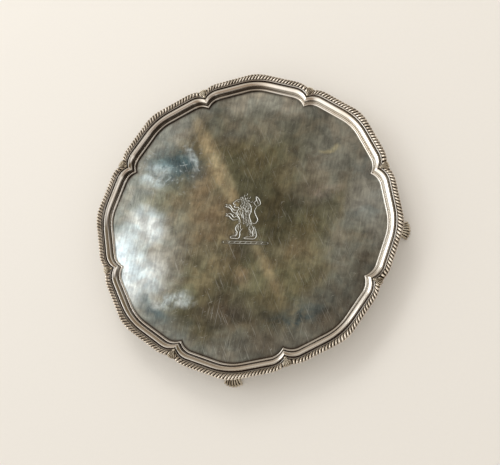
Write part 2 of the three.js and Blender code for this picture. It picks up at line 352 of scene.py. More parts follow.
def wreath_strokes():
    """The wreath under the lion: two long lines with round ends, crossed by leaning twists."""
    low, high = WREATH["low"], WREATH["high"]
    level = (low + high) / 2
    left = WREATH["middle"] - WREATH["half_width"]
    right = WREATH["middle"] + WREATH["half_width"]
    strokes = [[(left, y), (WREATH["middle"], y), (right, y)] for y in (low, high)]
    for end, cap in ((left, -WREATH["cap"]), (right, WREATH["cap"])):
        strokes.append([(end, high), (end + cap, level), (end, low)])
    step = (right - left) / WREATH["twists"]
    for i in range(1, WREATH["twists"]):
        x = left + i * step
        strokes.append([(x - WREATH["lean"], low), (x, level), (x + WREATH["lean"], high)])
    return strokes


def lock_strokes():
    strokes = []
    for row, (reach, length) in enumerate(LOCK_ROWS):
        for i in range(LOCKS_PER_ROW):
            angle = math.radians(LOCK_FAN["first"] - LOCK_FAN["step"] * i - LOCK_FAN["row_shift"] * row)
            along = np.array([math.cos(angle), math.sin(angle)])
            aside = np.array([along[1], -along[0]])
            root = np.array(JAW) + reach * along
            bow = root + 0.5 * length * along + LOCK_BOW * aside
            tip = root + length * along - LOCK_TIP * aside
            strokes.append([root, bow, tip])
    return strokes


def shading_strokes():
    strokes = []
    for first, last, count in SHADING:
        strokes += [place + SHADING_CUT for place in np.linspace(first, last, count)]
    return strokes


STROKE_STEPS = 6
# The shares of a cut's depth and width that are left at its two ends
CUT_END_DEPTH = 0.45
CUT_END_WIDTH = 0.6


def cut_depth(points, strokes, half_width, depth):
    """Depth of the V cuts that the strokes leave at points of the plane."""
    result = np.zeros(len(points))
    for stroke in strokes:
        line = smooth_line(stroke, STROKE_STEPS)
        low, high = line.min(0) - half_width, line.max(0) + half_width
        near = np.flatnonzero(((points > low) & (points < high)).all(1))
        start, along = line[:-1], np.diff(line, axis=0)
        offset = points[near][:, None, :] - start[None]
        share = np.clip((offset * along).sum(-1) / (along**2).sum(-1), 0, 1)
        distance = np.linalg.norm(offset - share[..., None] * along, axis=-1)
        nearest = distance.argmin(1)
        rows = np.arange(len(near))
        progress = (nearest + share[rows, nearest]) / len(along)
        swell = CUT_END_DEPTH + (1 - CUT_END_DEPTH) * np.sin(math.pi * progress) ** 0.6
        width = half_width * (CUT_END_WIDTH + (1 - CUT_END_WIDTH) * swell)
        cut = depth * swell * np.clip(1 - distance[rows, nearest] / width, 0, 1)
        result[near] = np.maximum(result[near], cut)
    return result


def well_waves(points):
    """The slight unevenness of a hammered and much polished sheet, in millimetres."""
    x, y = points[..., 0], points[..., 1]
    waves = np.sin(x / 23 + 1.3 * np.sin(y / 41)) * np.sin(y / 19 + 0.8 * np.sin(x / 37 + 2))
    ripples = np.sin(x / 9.5 + y / 31 + 4) * np.sin(y / 11 - x / 47 + 1)
    return WAVE_HEIGHT * (waves + 0.25 * ripples)


def engraving(flat):
    """Depth of the crest's cuts, and the painted shade about them, at points of the well."""
    plane = flat[..., :2].reshape(-1, 2) - CREST_PLACE
    fine_strokes = LION_FINE + wreath_strokes() + lock_strokes() + shading_strokes()
    bold = cut_depth(plane, LION_BOLD, **BOLD_CUT)
    fine = cut_depth(plane, fine_strokes, **FINE_CUT)
    shade = cut_depth(plane, LION_BOLD + fine_strokes, **CUT_SHADE)
    return np.maximum(bold, fine).reshape(flat.shape[:2]), shade.reshape(flat.shape[:2])


def lighter_side_share(degrees, azimuth, inner, outer):
    """How much a side is lightened: 1 within inner degrees of its azimuth and 0 beyond outer."""
    away = np.abs((degrees - azimuth + 180) % 360 - 180)
    return 1 - smoothstep(inner, outer, away)


def tarnish_and_painted_shade(place, degrees):
    """How dark the tarnish and painted shade are at places of the border, from 0 to 1."""
    total = np.zeros(place.shape)
    for middle, half, strength, lightened in HOLLOWS:
        stain_and_painted_shade = strength * np.exp(-(((place - middle) / half) ** 2))
        for share, side in zip(lightened, LIGHTER_SIDES):
            stain_and_painted_shade = stain_and_painted_shade * (1 - share * lighter_side_share(degrees, *side))
        total += stain_and_painted_shade
    return np.clip(total, 0, 1)


def well_rings(degrees, well):
    """Flat rings of points from the middle of the well to its line."""
    rings = []
    for radius in np.linspace(CREST_REACH / CREST_RINGS, CREST_REACH, CREST_RINGS):
        rings.append(polar_points(np.full(len(degrees), radius), degrees, WELL_TOP))
    for share in 1 - np.linspace(1, 0, WELL_RINGS + 1)[1:-1] ** WELL_RING_EASE:
        rings.append(polar_points(CREST_REACH + (well - CREST_REACH) * share, degrees, WELL_TOP))
    return np.array(rings)


def section_rings(section, degrees):
    """A ring of points for each (place, rise above the well) of a section."""
    rings = []
    for place, rise in section:
        rings.append(polar_points(border_radius(place, degrees), degrees, WELL_TOP + rise))
    return np.array(rings)


def back_rings(edge, degrees):
    """Flat rings of points under the tray, inwards from the ring at its edge."""
    reach = np.linalg.norm(edge[:, :2], axis=-1)
    shares = np.linspace(1, 0, BACK_RINGS + 1)[1:-1]
    return np.array([polar_points(reach * share, degrees, UNDERSIDE) for share in shares])


def make_plate(material):
    stations = LOBES * STATIONS_PER_LOBE
    degrees = -CUSP_ANGLE + np.arange(stations) * LOBE_STEP / STATIONS_PER_LOBE
    well = line_radius(WELL_LINE, degrees)
    groove = line_radius(GROOVE_LINE, degrees)

    flat = well_rings(degrees, well)
    reach = np.linalg.norm(flat[..., :2], axis=-1)
    cut, shade = engraving(flat)
    flat[..., 2] += well_waves(flat) * smoothstep(0, WAVE_FADE, 1 - reach / well) - cut
    section = bezier_chain(BORDER_CURVES, CURVE_STEPS)
    under = section_rings(bezier_chain(UNDER_CURVES, CURVE_STEPS)[1:], degrees)
    rows = np.concatenate([flat, section_rings(section, degrees), under, back_rings(under[-1], degrees)])
    border = slice(len(flat), len(flat) + len(section))

    def over_rows(well_values, elsewhere):
        """A value for every point, from the values in the well and one for elsewhere."""
        values = np.full(rows.shape[:2], float(elsewhere))
        values[: len(flat)] = well_values
        return values

    place = over_rows((reach - well) / (groove - well), FAR_PLACE)
    place[border] = section[:, :1]
    on_well = over_rows(1, 0)
    on_well[border] = 1 - smoothstep(0, WELL_SURFACE_END, section[:, :1])
    layers = {
        "hollow": tarnish_and_painted_shade(place, degrees),
        "well": on_well,
        "engraved": over_rows(cut / BOLD_CUT["depth"], 0),
        "shaded": over_rows(shade, 0),
        "outwards": over_rows(reach / well, 1),
    }
    attributes = {}
    for key, values in layers.items():
        attributes[key] = np.append(values, [values[0].mean(), values[-1].mean()])
    points, faces = loft(rows)
    piece = make_piece("salver_plate", points, faces, attributes)
    hand_over(piece, "plate", material)


# ---- gadroon border

# A lobe has room for 36 reeds. The end ones of its 35 run on under the cusp shells.
REED_PITCH = LOBE_STEP / 36
REEDS = 35
REED_LEAN = 1.4 * REED_PITCH
# How pinched a reed is, and how much more at its narrow inner end
REED_PINCH = 1.2
INNER_PINCH = 0.4
# The reeds are a little paler on one side: its azimuth and reach, as for the lighter sides, and by how much
LIGHTER_REEDS = (215, 55, 120)
LIGHTER_REEDS_SHARE = 0.1
REED_STEPS = 12
# Sections over a reed's crest and down in the hollow between two, as (place, rise above the flange)
CREST_CURVES = [
    (1.28, 2.4),
    (1.3, 3.2), (1.53, 3.9), (1.73, 4.05),
    (1.91, 4.15), (2.02, 3.5), (2.015, 2.3),
    (2.0, 1.2), (1.96, 0.3), (1.88, 0),
]
HOLLOW_CURVES = [
    (1.28, 1.95),
    (1.39, 2.1), (1.52, 2.4), (1.68, 2.3),
    (1.78, 2.2), (1.83, 1.9), (1.83, 1.3),
    (1.83, 0.8), (1.83, 0.4), (1.83, 0),
]
# The last reeds at each end sink under the shell beside them: how many, and the share of height left
END_REEDS = 2.2
END_RISE = 0.5
# They also straighten, so that two sections meet square to the rim: over how many reeds
STRAIGHT_REEDS = 3.5


def make_gadroon_border(index, material):
    crest = bezier_chain(CREST_CURVES, CURVE_STEPS)
    hollow = bezier_chain(HOLLOW_CURVES, CURVE_STEPS)
    across = np.linspace(0, 1, len(crest))
    pinch = REED_PINCH + INNER_PINCH * (1 - across) ** 2
    # A reed leans most across the top and runs nearly straight down the outer face.
    shift = REED_LEAN * (np.sin(math.pi / 2 * across) - 0.5)
    start = -REEDS * REED_PITCH / 2
    rings = []
    depths = []
    steps = REEDS * REED_STEPS
    for i in range(steps + 1):
        reed, step = divmod(i, REED_STEPS)
        around = (1 - math.cos(math.pi * step / REED_STEPS)) / 2
        swell = math.sin(math.pi * step / REED_STEPS) ** pinch
        section = hollow + (crest - hollow) * swell[:, None]
        from_end = min(i, steps - i) / REED_STEPS
        section[:, 1] *= END_RISE + (1 - END_RISE) * smoothstep(0, END_REEDS, from_end)
        leaning = smoothstep(0, STRAIGHT_REEDS, from_end)
        degrees = start + (reed + around) * REED_PITCH - shift * leaning
        ring = polar_points(border_radius(section[:, 0], degrees), degrees, FLANGE_TOP + section[:, 1])
        inner = polar_points(border_radius(crest[0, 0], degrees[:1]), degrees[:1], FLANGE_TOP)
        rings.append(np.concatenate([ring, inner]))
        azimuth = start + reed * REED_PITCH + index * LOBE_STEP
        lightened = LIGHTER_REEDS_SHARE * lighter_side_share(azimuth, *LIGHTER_REEDS)
        # The hollow between two reeds takes tarnish and painted shade.
        depths.append(np.append(1 - swell, 1) * (1 - lightened))
    points, faces = loft(rings)
    attributes = {"hollow": np.append(np.concatenate(depths), [1, 1])}
    points = turned(points, index * LOBE_STEP)
    piece = make_piece(f"gadroon_border_{index + 1}_reeds", points, faces, attributes, crease=50)
    hand_over(piece, f"gadroon_border_{index + 1}", material)


# ---- scallops


RIB_STEPS = 12
ALONG_STEPS = 20
# A lower power makes fuller ribs.
RIB_POWER = 0.5
# The ribs grow from nothing over this share of the length.
RIBS_GROW = 0.35
# How much shorter and lower a fan is at its two sides, and its least height
SIDE_SHORTER = 0.04
SIDE_LOWER = 0.35
LEAST_HEIGHT = 0.15


def scallop(base, crown, ribs, length, half_angle, hub, rib_height, notch):
    """A ribbed fan with a flat base, whose centre is at the origin and whose ribs spread about +X.

    crown is the height over the base along a rib, as cubic curves of (share of the length, height). hub is
    the radius at which the ribs begin, and notch is how much of the length is cut away between two ribs.
    """
    profile = bezier_chain(crown, ALONG_STEPS)
    grow = smoothstep(0, RIBS_GROW, profile[:, 0])
    rings = []
    for i in range(ribs * RIB_STEPS + 1):
        across = i / (ribs * RIB_STEPS)
        rib = abs(math.sin(math.pi * ribs * across)) ** RIB_POWER
        side = abs(2 * across - 1)
        angle = math.radians(half_angle) * (2 * across - 1)
        reach = length * (1 - notch * (1 - rib)) * (1 - SIDE_SHORTER * side**2)
        distance = hub + (reach - hub) * profile[:, 0]
        droop = 1 - SIDE_LOWER * side**3
        height = profile[:, 1] * droop - rib_height * (1 - rib) * grow
        height = np.maximum(height, LEAST_HEIGHT)
        top = np.stack([distance * math.cos(angle), distance * math.sin(angle), base + height], -1)
        low = top[[-1, 0]].copy()
        low[:, 2] = base
        rings.append(np.concatenate([top, low]))
    return loft(rings)


def fuse(name, points, faces, voxel):
    """Melts overlapping solids into one skin, as one casting. Sizes are in millimetres."""
    rough = make_piece(name + "_rough", points, faces)
    remesh = rough.modifiers.new("fuse", "REMESH")
    remesh.mode = "VOXEL"
    remesh.voxel_size = voxel * MM
    smooth = rough.modifiers.new("soften", "SMOOTH")
    smooth.factor = 0.5
    smooth.iterations = 2
    bpy.context.view_layer.update()
    fused = bpy.data.meshes.new_from_object(rough.evaluated_get(bpy.context.evaluated_depsgraph_get()))
    flat = np.empty(len(fused.vertices) * 3, np.float32)
    fused.vertices.foreach_get("co", flat)
    faces = [list(polygon.vertices) for polygon in fused.polygons]
    bpy.data.objects.remove(rough)
    bpy.data.meshes.remove(fused)
    return flat.reshape(-1, 3) / MM, faces


def concavity(points, faces, rounds, depth):
    """How deep each vertex lies in a hollow, from 0 to 1 at the given depth, found by smoothing the mesh."""
    faces = np.array(faces)
    sides = faces.shape[1]
    edges = np.concatenate([faces[:, [i, (i + 1) % sides]] for i in range(sides)])
    starts, ends = edges[:, 0], edges[:, 1]
    count = np.bincount(starts, minlength=len(points))[:, None]
    smooth = points.copy()
    for _ in range(rounds):
        total = np.stack([np.bincount(starts, smooth[ends, axis], len(points)) for axis in range(3)], -1)
        smooth = total / np.maximum(count, 1)
    across = np.cross(points[faces[:, 2]] - points[faces[:, 0]], points[faces[:, 3]] - points[faces[:, 1]])
    normals = np.zeros_like(points)
    for corner in range(sides):
        np.add.at(normals, faces[:, corner], across)
    normals /= np.maximum(np.linalg.norm(normals, axis=1, keepdims=True), 1e-12)
    return np.clip(((smooth - points) * normals).sum(1) / depth, 0, 1)


DOME_SIDES = 24
DOME_ROWS = 8


def dome(base, radius, height):
    """A round boss that stands on a level base."""
    angles = 2 * math.pi * np.arange(DOME_SIDES) / DOME_SIDES
    rings = []
    for i in range(DOME_ROWS):
        turn = math.pi / 2 * i / DOME_ROWS
        reach = radius * math.cos(turn)
        level = np.full(DOME_SIDES, base + height * math.sin(turn))
        rings.append(np.stack([reach * np.cos(angles), reach * np.sin(angles), level], -1))
    return loft(rings)


SCROLL_SIDES = 20
SCROLL_AXIS = 0.05
# A volute's face from its axis to its rim, as (share of the radius, share of the width)
SCROLL_FACE = [(0, 0.2), (0.25, 0.32), (0.42, 0.36), (0.5, 0.24), (0.78, 0.3), (0.92, 0.5), (1, 0.5)]


def scroll(radius, width):
    """A rolled volute about the Y axis, as a wheel with a raised ring and rim on each face."""
    rows = [(share * radius, depth * width) for share, depth in SCROLL_FACE]
    profile = rows + [(reach, -depth) for reach, depth in reversed(rows)]
    angles = -2 * math.pi * np.arange(SCROLL_SIDES) / SCROLL_SIDES
    rings = []
    for reach, along in profile:
        reach = max(reach, SCROLL_AXIS)
        across = np.full(SCROLL_SIDES, along)
        rings.append(np.stack([reach * np.cos(angles), across, reach * np.sin(angles)], -1))
    return loft(rings)


# ---- cusp shells

# Distances are from the tray's axis. The flat base lies a little below the fillet's top.
SHELL_BASE = WELL_TOP + 6.25
SHELL_CENTRE = 137.9
SHELL_FAN = {"ribs": 5, "length": 9.9, "half_angle": 29, "hub": 1.2, "rib_height": 1.1, "notch": 0.16}
SHELL_CROWN = [
    (0, 1.0),
    (0.12, 2.1), (0.4, 2.5), (0.66, 2.3),
    (0.84, 2.1), (1, 1.5), (1, 0.3),
]
SHELL_BOSS = {"radius": 1.55, "height": 1.9}
SHELL_BOSS_CENTRE = SHELL_CENTRE + 1.6
# The block under the fan, from corner to corner
SHELL_SEAT = [(141.9, -2.6, FLANGE_TOP), (145.2, 2.6, SHELL_BASE + 0.5)]
SHELL_VOXEL = 0.13
SHELL_HOLLOW = {"rounds": 12, "depth": 0.05}


def box(low, high):
    """Points and faces of a block between two corners."""
    x, y, z = zip(low, high)
    ring = [(x[0], y[0]), (x[1], y[0]), (x[1], y[1]), (x[0], y[1])]
    return loft([[(*point, level) for point in ring] for level in (z[0], z[1])])


def shell_mesh():
    fan = moved(scallop(SHELL_BASE, SHELL_CROWN, **SHELL_FAN), SHELL_CENTRE)
    boss = moved(dome(SHELL_BASE, **SHELL_BOSS), SHELL_BOSS_CENTRE)
    points, faces = fuse("cusp_shell", *merge([fan, boss, box(*SHELL_SEAT)]), SHELL_VOXEL)
    return points, faces, concavity(points, faces, **SHELL_HOLLOW)


# ---- feet

FEET = 4
FOOT_EVERY = 360 / FEET
TOE_CENTRE = 139.5
TOE_FAN = {"ribs": 7, "length": 17.6, "half_angle": 35, "hub": 2.2, "rib_height": 1.5, "notch": 0.17}
TOE_CROWN = [
    (0, 5.2),
    (0.15, 6.9), (0.45, 6.6), (0.7, 5.2),
    (0.88, 4.1), (1, 2.9), (1, 1.4),
]
TOE_BOSS = {"radius": 3.3, "height": 7.4}
TOE_BOSS_CENTRE = TOE_CENTRE + 2.4
# The leg's sections: distance out, height, half sizes out and across, and the lean of the section in degrees
LEG_SECTIONS = [
    (129.5, PAD_BOTTOM, 5.5, 7.0, 0),
    (130.3, 16.3, 5.0, 6.4, 6),
    (131.4, 14.0, 4.6, 5.8, 16),
    (133.0, 11.8, 4.3, 5.2, 27),
    (135.6, 8.9, 3.6, 4.6, 40),
    (138.8, 6.3, 3.1, 4.4, 52),
    (142.5, 4.4, 2.9, 4.4, 68),
]
LEG_SIDES = 32
LEG_STEPS = 8
# Ribs run down the leg, one of them at the front, with a flute between each two.
LEG_RIBS = 5
FLUTE_DEPTH = 0.09
VOLUTE = {"radius": 3.6, "width": 13.6}
VOLUTE_PLACE = {"out": 134.4, "up": 14.0}
FOOT_VOXEL = 0.26
FOOT_HOLLOW = {"rounds": 14, "depth": 0.12}


def leg():
    rows = smooth_line(LEG_SECTIONS, LEG_STEPS)
    turn = -2 * math.pi * np.arange(LEG_SIDES) / LEG_SIDES
    flute = 1 - FLUTE_DEPTH * (1 - np.cos(LEG_RIBS * turn)) / 2
    rings = []
    for out, up, deep, wide, lean in rows:
        outwards = deep * np.cos(turn) * flute
        x = out + outwards * math.cos(math.radians(lean))
        z = up + outwards * math.sin(math.radians(lean))
        rings.append(np.stack([x, wide * np.sin(turn) * flute, z], -1))
    return loft(rings)


def foot_mesh():
    toe = moved(scallop(0, TOE_CROWN, **TOE_FAN), TOE_CENTRE)
    boss = moved(dome(0, **TOE_BOSS), TOE_BOSS_CENTRE)
    volute = moved(scroll(**VOLUTE), **VOLUTE_PLACE)
    points, faces = fuse("foot", *merge([leg(), toe, boss, volute]), FOOT_VOXEL)
    # The soft skin never passes under the sole or over the pad.
    points[:, 2] = np.clip(points[:, 2], 0, PAD_BOTTOM)
    return points, faces, concavity(points, faces, **FOOT_HOLLOW)


# ---- foot pads

# A pad's middle, and how far it reaches inwards, outwards and to each side
PAD = {"middle": 127.5, "inner": 10, "outer": 8, "side": 12}
PAD_ROUNDNESS = 0.67
PAD_STEPS = 12
PAD_EDGE = 0.35
# The eased lower edge and the straight side: how far in from the outline, and the level
PAD_ROWS = [
    (PAD_EDGE, PAD_BOTTOM),
    (PAD_EDGE * 0.3, PAD_BOTTOM + PAD_EDGE * 0.3),
    (0, PAD_BOTTOM + PAD_EDGE),
    (0, UNDERSIDE),
]


def pad_mesh():
    inner, outer, side = -PAD["inner"], PAD["outer"], PAD["side"]
    round_outer, round_side = outer * PAD_ROUNDNESS, side * PAD_ROUNDNESS
    curves = [
        (inner, 0),
        (inner, -round_side), (inner / 3, -side), (0, -side),
        (round_outer, -side), (outer, -round_side), (outer, 0),
        (outer, round_side), (round_outer, side), (0, side),
        (inner / 3, side), (inner, round_side), (inner, 0),
    ]
    outline = bezier_chain(curves, PAD_STEPS)[:-1]
    rings = []
    for inset, level in PAD_ROWS:
        shrunk = outline * (1 - inset / np.linalg.norm(outline, axis=1, keepdims=True))
        levels = np.full(len(shrunk), level)
        rings.append(np.column_stack([shrunk[:, 0] + PAD["middle"], shrunk[:, 1], levels]))
    return loft(rings)


# ---- materials


class Shader:
    """Short ways to add nodes to one node tree. Positions and scales are in millimetres."""

    def __init__(self, owner):
        owner.use_nodes = True
        self.tree = owner.node_tree
        self.tree.nodes.clear()

    def add(self, kind, inputs=None, **settings):
        node = self.tree.nodes.new(kind)
        for key, value in settings.items():
            setattr(node, key, value)
        for key, value in (inputs or {}).items():
            if isinstance(value, bpy.types.NodeSocket):
                self.tree.links.new(value, node.inputs[key])
            else:
                node.inputs[key].default_value = value
        return node

    def position(self, turn=0, stretch=(1, 1, 1), move=(0, 0, 0)):
        """The point in millimetres, turned about Z, moved and then stretched."""
        point = self.add("ShaderNodeTexCoord").outputs["Object"]
        inputs = {"Vector": point, "Scale": [1 / MM] * 3, "Rotation": (0, 0, math.radians(turn))}
        inputs["Location"] = move
        placed = self.add("ShaderNodeMapping", inputs).outputs[0]
        return self.vector("MULTIPLY", {0: placed, 1: stretch})

    def vector(self, operation, inputs, output=0):
        return self.add("ShaderNodeVectorMath", inputs, operation=operation).outputs[output]

    def noise(self, vector, size, detail=4, roughness=0.55, distortion=0):
        inputs = {"Vector": vector, "Scale": 1 / size, "Detail": detail}
        inputs.update({"Roughness": roughness, "Distortion": distortion})
        return self.add("ShaderNodeTexNoise", inputs).outputs[0]

    def math(self, operation, first, second=0.0):
        return self.add("ShaderNodeMath", {0: first, 1: second}, operation=operation).outputs[0]

    def times(self, first, second):
        return self.math("MULTIPLY", first, second)

    def plus(self, first, second):
        return self.math("ADD", first, second)

    def step(self, low, high, value):
        inputs = {"Value": value, "From Min": low, "From Max": high}
        return self.add("ShaderNodeMapRange", inputs, interpolation_type="SMOOTHSTEP").outputs[0]

    def mix(self, share, first, second, blend="MIX"):
        node = self.add("ShaderNodeMix", data_type="RGBA", blend_type=blend)
        for socket, value in ((0, share), (6, first), (7, second)):
            if isinstance(value, bpy.types.NodeSocket):
                self.tree.links.new(value, node.inputs[socket])
            else:
                node.inputs[socket].default_value = value if socket == 0 else (*value, 1)
        return node.outputs[2]

    def tint(self, colour, noise, reach, first, second):
        """The colour times a tone that runs from first to second with a noise."""
        return self.mix(1.0, colour, self.mix(self.step(*reach, noise), first, second), "MULTIPLY")

    def cover(self, colour, tone, share, strength):
        """The colour with a tone laid over it."""
        return self.mix(self.times(share, strength), colour, tone)

    def attribute(self, name):
        return self.add("ShaderNodeAttribute", attribute_name=name).outputs["Fac"]

    def blot(self, point, centre, size, turn=0):
        """A soft patch: 1 at its centre and 0 at its size away. It reaches a metre up and down."""
        inputs = {"Vector": point, "Location": centre, "Rotation": (0, 0, math.radians(turn))}
        inputs["Scale"] = (*size, 1000)
        local = self.add("ShaderNodeMapping", inputs, vector_type="TEXTURE").outputs[0]
        return self.step(1, 0, self.vector("LENGTH", {0: local}, "Value"))

    def bump(self, height, distance, normal=None):
        inputs = {"Height": height, "Distance": distance * MM, "Strength": 1.0}
        if normal is not None:
            inputs["Normal"] = normal
        return self.add("ShaderNodeBump", inputs).outputs[0]

    def finish(self, colour, roughness, normal=None, metallic=1.0):
        inputs = {"Base Color": colour, "Roughness": roughness, "Metallic": metallic}
        if normal is not None:
            inputs["Normal"] = normal
        surface = self.add("ShaderNodeBsdfPrincipled", inputs).outputs[0]
        self.add("ShaderNodeOutputMaterial", {"Surface": surface})


SILVER = (0.87, 0.83, 0.77)
WARM_SILVER = (0.78, 0.7, 0.6)
TARNISH_AND_PAINTED_SHADE = (0.045, 0.028, 0.018)
OLIVE = (0.25, 0.235, 0.15)
DARK_OLIVE = (0.13, 0.12, 0.078)
BROWN = (0.33, 0.265, 0.18)
DARK_BROWN = (0.12, 0.1, 0.078)
PAINTED_REFLECTION_STREAK = (0.56, 0.47, 0.31)
GREY = (0.275, 0.285, 0.272)
COOL_GREY = (0.5, 0.54, 0.55)
LIGHT_GREY = (0.42, 0.42, 0.39)
PALE_GREY = (0.66, 0.66, 0.62)
PALE_PINK = (0.52, 0.45, 0.42)
PALE_YELLOW = (0.62, 0.58, 0.42)
DARK_SLATE = (0.075, 0.12, 0.145)
TEAL = (0.2, 0.3, 0.33)
CLOUD_AND_PAINTED_GLOW = (0.77, 0.86, 0.92)
CUT = (0.74, 0.75, 0.72)
CUT_PAINTED_SHADE = (0.09, 0.085, 0.07)


# Patches of tarnish and wear in the well, and painted reflections: colour, centre and half sizes in
# millimetres, turn and strength.
# A patch's edge wanders, unless it is straight, and smoky noise breaks up some of them.
WELL_PATCHES = [
    (BROWN, (-44, 20), (44, 108), 14, 0.85),
    (DARK_OLIVE, (14, 40), (38, 52), 10, 0.75),
    (DARK_OLIVE, (36, -2), (40, 44), 6, 0.9),
    (DARK_BROWN, (-20, 88), (28, 18), 20, 0.6),
    (DARK_BROWN, (2, -28), (26, 20), -10, 0.6),
    (DARK_BROWN, (0, -92), (60, 30), 4, 1.0),
    (DARK_BROWN, (92, -88), (34, 40), -34, 0.7),
    (DARK_BROWN, (116, -44), (18, 40), -14, 0.7),
    (LIGHT_GREY, (80, 66), (54, 70), -30, 0.85),
    (LIGHT_GREY, (10, 98), (70, 32), 0, 0.5),
    (PALE_GREY, (16, 126), (74, 26), 0, 0.85),
    (LIGHT_GREY, (96, 92), (30, 24), -44, 0.8),
    (BROWN, (58, -30), (40, 26), -10, 0.5),
    (LIGHT_GREY, (98, -12), (30, 40), 0, 0.5),
    (BROWN, (2, -58), (18, 16), 0, 0.9),
    (DARK_BROWN, (26, -122), (54, 22), 6, 0.7),
    (LIGHT_GREY, (-84, 92), (50, 26), 44, 0.8),
    (LIGHT_GREY, (-92, -34), (54, 84), 2, 0.9),
    (DARK_SLATE, (-74, 56), (44, 30), -20, 1.0),
    (TEAL, (-84, 62), (34, 24), 20, 0.8, "smoky"),
    (DARK_SLATE, (60, -88), (46, 20), 24, 0.9, "smoky"),
    # Straight pale streaks: painted reflections of a strip of light
    (PAINTED_REFLECTION_STREAK, (-34, 58), (12, 78), 30, 1.0, "straight"),
    (PAINTED_REFLECTION_STREAK, (-26, 44), (10, 44), 30, 0.7, "straight"),
    (PAINTED_REFLECTION_STREAK, (27, -46), (9, 56), 32, 0.6, "straight"),
    # Pale blue clouds on the left: bluish tarnish, with the window's reflection painted in as a glow
    (CLOUD_AND_PAINTED_GLOW, (-118, -46), (28, 60), 4, 1.0),
    (CLOUD_AND_PAINTED_GLOW, (-94, -6), (30, 26), 12, 0.95),
    (CLOUD_AND_PAINTED_GLOW, (-98, -60), (30, 34), -20, 0.8),
    (DARK_SLATE, (-80, -94), (40, 13), -38, 0.8),
    (CLOUD_AND_PAINTED_GLOW, (-66, -82), (30, 16), 10, 0.8, "smoky"),
    (CLOUD_AND_PAINTED_GLOW, (-94, 44), (26, 18), 24, 0.6, "smoky"),
    (CLOUD_AND_PAINTED_GLOW, (-63, 72), (8, 22), -4, 0.9, "smoky"),
    (CLOUD_AND_PAINTED_GLOW, (-60, 56), (5, 20), -6, 0.7, "smoky"),
    (PALE_PINK, (76, 34), (28, 11), -8, 0.6, "smoky"),
    (PALE_YELLOW, (76, 75), (9, 6), 10, 1.0),
    (PALE_YELLOW, (60, -34), (40, 18), -12, 0.25, "smoky"),
    (COOL_GREY, (120, 24), (28, 56), 8, 0.9),
]


# The size of the noise that moves the patches' edges, and how far it moves them
WANDER_SIZE = 30
WANDER_REACH = 40.0
# Fine scratches: width, length and turn, and the noise values between which a line fades in
SCRATCHES = [
    (0.8, 26, 6, 0.6, 0.74),
    (0.9, 30, -28, 0.62, 0.72),
    (1.0, 9, 62, 0.66, 0.74),
]
# Where curls of old polish lie thickest
CURLS = {"place": (-76, 58), "size": (52, 40)}
# The size of the noise that breaks lines off, as a share of their own
SCRATCH_BREAKS = 1.5
SWIRL_BREAKS = 0.3


def scratches(shader, size, length, turn, low, high):
    """Thin straight lines that run about the way of turn, 1 on a line and 0 off it."""
    point = shader.position(turn=turn, stretch=(1, size / length, 1))
    lines = shader.noise(point, size, detail=2, roughness=0.5, distortion=0.3)
    breaks = shader.noise(shader.position(move=(length, 0, 0)), length * SCRATCH_BREAKS, detail=2)
    return shader.times(shader.step(low, high, lines), shader.step(0.4, 0.6, breaks))


def swirls(shader, point, size, count, width):
    """Thin curved lines as a polishing cloth leaves them: 1 on a line and 0 off it."""
    field = shader.noise(point, size, detail=1, roughness=0.4, distortion=0.3)
    phase = shader.math("FRACT", shader.times(field, count))
    off_line = shader.math("ABSOLUTE", shader.math("SUBTRACT", phase, 0.5))
    breaks = shader.noise(shader.position(move=(size, 7, 0)), size * SWIRL_BREAKS, detail=2)
    return shader.times(shader.step(width, 0, off_line), shader.step(0.54, 0.64, breaks))


def well_colour(shader, point, outwards):
    """Old tarnish over the well, from olive and brown in the middle to cool greys at the edge, with a
    painted reflection glow in the pale blue clouds on the left and painted reflection streaks.
    """
    inputs = {"Vector": point, "Scale": 1 / WANDER_SIZE, "Detail": 3.0}
    wander = shader.add("ShaderNodeTexNoise", inputs).outputs[1]
    wander = shader.vector("SUBTRACT", {0: wander, 1: (0.5, 0.5, 0.5)})
    wander = shader.vector("SCALE", {0: wander, 3: WANDER_REACH})
    ragged = shader.vector("ADD", {0: point, 1: wander})
    broad = shader.noise(point, size=60, detail=3, roughness=0.5, distortion=0.4)
    smoke = shader.noise(point, size=12, detail=6, roughness=0.62, distortion=0.5)
    smoke = shader.step(0.33, 0.67, smoke)
    colour = shader.mix(shader.step(0.38, 0.64, broad), DARK_OLIVE, OLIVE)
    rim_ward = shader.plus(outwards, shader.times(shader.math("SUBTRACT", broad, 0.5), 0.7))
    colour = shader.cover(colour, GREY, shader.step(0.66, 1.0, rim_ward), strength=0.8)
    for tone, centre, size, turn, strength, *edge in WELL_PATCHES:
        place = point if "straight" in edge else ragged
        share = shader.blot(place, (*centre, WELL_TOP), size, turn)
        if "smoky" in edge:
            share = shader.times(share, smoke)
        colour = shader.cover(colour, tone, share, strength)
    smudges = shader.noise(point, size=11, detail=5, roughness=0.6, distortion=0.3)
    colour = shader.tint(colour, smudges, (0.3, 0.7), (0.74, 0.73, 0.73), (1.26, 1.26, 1.24))
    hues = shader.noise(point, size=24, detail=4, roughness=0.6, distortion=0.5)
    colour = shader.tint(colour, hues, (0.38, 0.62), (1.04, 0.985, 0.93), (0.965, 1.0, 1.0))
    brushed = shader.position(turn=6, stretch=(1, 0.16, 1))
    mottle = shader.noise(brushed, size=2.2, detail=4, roughness=0.6)
    colour = shader.tint(colour, mottle, (0.3, 0.7), (0.84, 0.84, 0.85), (1.16, 1.16, 1.15))

    curly = shader.blot(ragged, (*CURLS["place"], WELL_TOP), CURLS["size"])
    pale = shader.times(swirls(shader, point, size=20, count=10, width=0.3), curly)
    dark = swirls(shader, shader.position(move=(40, 9, 0)), size=17, count=9, width=0.4)
    colour = shader.cover(colour, DARK_SLATE, shader.times(dark, curly), strength=0.6)
    return shader.cover(colour, CLOUD_AND_PAINTED_GLOW, pale, strength=0.5), smudges


